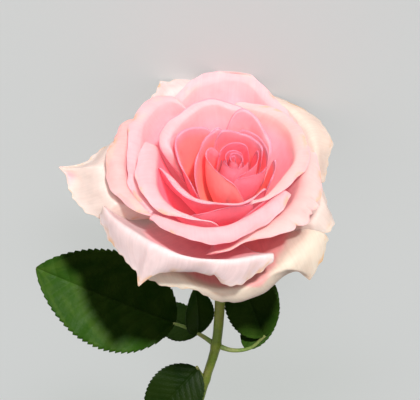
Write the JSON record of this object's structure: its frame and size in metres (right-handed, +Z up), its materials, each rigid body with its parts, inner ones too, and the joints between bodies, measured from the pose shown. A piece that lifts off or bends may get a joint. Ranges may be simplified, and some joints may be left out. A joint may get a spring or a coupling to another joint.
{
  "type": "cut rose",
  "caption": "Cut rose lying on its side: double pink bloom with cream outer petals rolled at their edges, sepals, and a slender leafy stem.",
  "frame": {"origin": "on the table, under the middle of the rose's box", "axes": "+Z up from the table, +Y along the stem towards its cut end, so the bloom faces -Y"},
  "size_m": [0.173, 0.3962, 0.0962],
  "materials": {
    "pink_petal": "soft velvety petal, coral inside the heart and pale pink along the lips",
    "cream_petal": "soft satin petal, cream with a pink blush, yellow-green towards its foot and brown along some edges",
    "sepal": "smooth matt green",
    "stem": "smooth satin olive-green bark",
    "leaf": "dark green, slightly glossy upper side with sunken veins, paler matt underside"
  },
  "bodies": {
    "root": {"bloom": "pink_petal", "guard_petals": "cream_petal", "calyx": "sepal", "stem": "stem", "leaf_left": "leaf", "leaf_right": "leaf", "leaf_small": "leaf", "leaf_lower": "leaf", "leaf_lowest": "leaf"}
  },
  "joints": []
}
